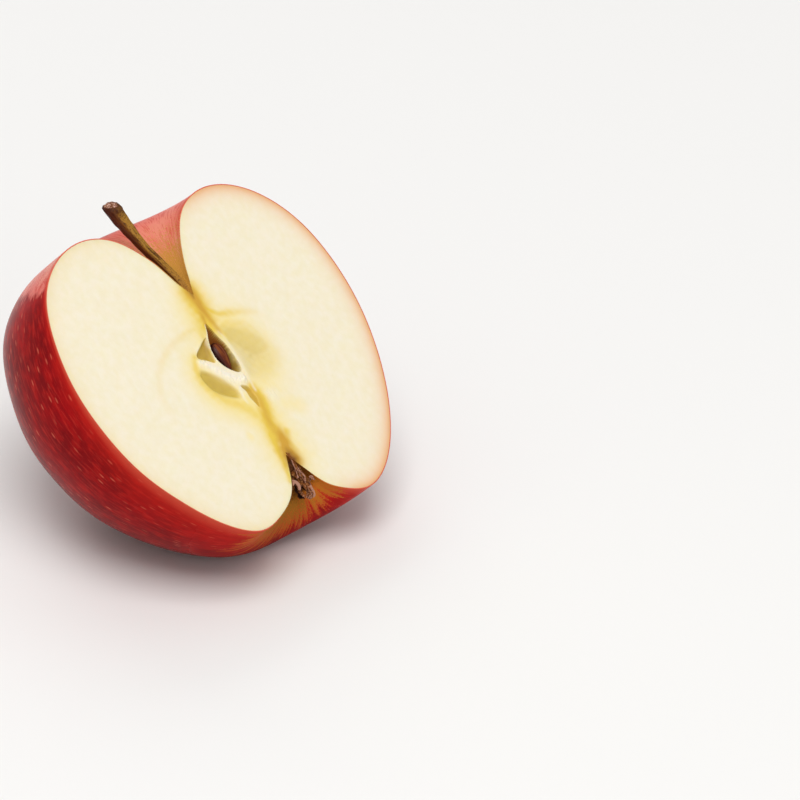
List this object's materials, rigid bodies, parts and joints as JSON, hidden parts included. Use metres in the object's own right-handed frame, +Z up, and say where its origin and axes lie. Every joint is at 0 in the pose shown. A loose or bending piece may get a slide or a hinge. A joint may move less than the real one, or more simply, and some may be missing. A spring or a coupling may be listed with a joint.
{
  "type": "apple half",
  "caption": "Half of a red apple cut lengthwise through the core, lying on its rounded back with the cut face up, with stem, seed and dried calyx.",
  "frame": {"origin": "middle of the underside of the part's box, on the ground that the flat spot rests on", "axes": "+Z up; the cut face looks up and towards +X and -Y, and the stem end points up and towards -X and +Y"},
  "size_m": [0.0726, 0.078, 0.0578],
  "materials": {
    "apple": "waxy crimson skin round moist cream flesh",
    "stem": "dry olive-brown bark",
    "seed": "smooth, slightly glossy seed coat",
    "calyx": "dry, crumpled sepals"
  },
  "bodies": {
    "root": {"apple_half": "apple", "stem": "stem", "seed": "seed", "calyx": "calyx"}
  },
  "joints": []
}
